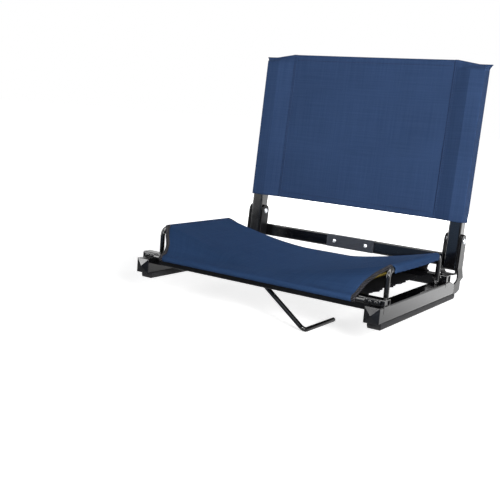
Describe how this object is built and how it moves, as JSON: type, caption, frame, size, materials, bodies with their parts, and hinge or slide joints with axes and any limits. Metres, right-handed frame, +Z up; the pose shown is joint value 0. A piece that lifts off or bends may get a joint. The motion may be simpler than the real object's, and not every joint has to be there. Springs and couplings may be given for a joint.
{
  "type": "stadium chair",
  "caption": "Folding stadium chair with rubber-footed steel rails, a slung fabric seat, a fabric back that folds forward on hinge brackets, and a swinging hook for the bleacher board.",
  "frame": {"origin": "on the bleacher board under the rubber feet, midway between the front ends of the two rails", "axes": "+X across the seat to the sitter's left, +Y from the front edge to the back, +Z up"},
  "size_m": [0.475, 0.3984, 0.4655],
  "materials": {
    "powder_coat": "gloss black powder coat on steel",
    "bright_zinc": "bright zinc plate",
    "yellow_zinc": "yellow zinc plate on spring wire",
    "rubber": "matt black rubber",
    "black_plastic": "moulded, satin",
    "navy_cloth": "plain woven coated polyester",
    "charcoal_tape": "ribbed woven binding tape"
  },
  "bodies": {
    "frame": {"front_cross_bar": "powder_coat", "front_hem_rod": "powder_coat", "front_left_binding": "charcoal_tape", "front_left_hem_rivet_1": "powder_coat", "front_left_hem_rivet_2": "powder_coat", "front_right_binding": "charcoal_tape", "front_right_hem_rivet_1": "powder_coat", "front_right_hem_rivet_2": "powder_coat", "hook_bracket": "powder_coat", "left_foot": "rubber", "left_front_arch_rivet": "bright_zinc", "left_hinge_arm": "powder_coat", "left_hinge_cradle": "powder_coat", "left_hinge_pin": "bright_zinc", "left_hinge_washer": "bright_zinc", "left_plug": "black_plastic", "left_rail": "powder_coat", "left_rear_arch_rivet": "bright_zinc", "left_seat_arch": "powder_coat", "rear_cross_bar": "powder_coat", "rear_hem_rod": "powder_coat", "rear_left_binding": "charcoal_tape", "rear_left_hem_rivet_1": "powder_coat", "rear_left_hem_rivet_2": "powder_coat", "rear_right_binding": "charcoal_tape", "rear_right_hem_rivet_1": "powder_coat", "rear_right_hem_rivet_2": "powder_coat", "right_foot": "rubber", "right_front_arch_rivet": "bright_zinc", "right_hinge_arm": "powder_coat", "right_hinge_cradle": "powder_coat", "right_hinge_pin": "bright_zinc", "right_hinge_washer": "bright_zinc", "right_plug": "black_plastic", "right_rail": "powder_coat", "right_rear_arch_rivet": "bright_zinc", "right_seat_arch": "powder_coat", "seat_sling": "navy_cloth", "seat_spring_1": "yellow_zinc", "seat_spring_2": "yellow_zinc", "seat_spring_3": "yellow_zinc", "seat_spring_4": "yellow_zinc"},
    "backrest": {"left_upright": "powder_coat", "right_upright": "powder_coat", "left_upright_cap": "black_plastic", "right_upright_cap": "black_plastic", "left_stop_bar": "powder_coat", "right_stop_bar": "powder_coat", "front_splice_plate": "powder_coat", "rear_splice_plate": "powder_coat", "left_splice_rivet": "bright_zinc", "right_splice_rivet": "bright_zinc", "back_panel": "navy_cloth", "left_sleeve": "navy_cloth", "right_sleeve": "navy_cloth"},
    "hook": {"hook": "powder_coat", "hook_retainer": "bright_zinc"}
  },
  "joints": [
    {"name": "backrest_fold", "type": "hinge", "parent": "frame", "child": "backrest", "pos_m": [0, 0.355, 0.103], "axis": [1, 0, 0], "range_deg": [0, 91]},
    {"name": "hook_swing", "type": "hinge", "parent": "frame", "child": "hook", "pos_m": [0, 0.0387, 0.032], "axis": [0, 1, 0], "range_deg": [-36, 143]}
  ]
}
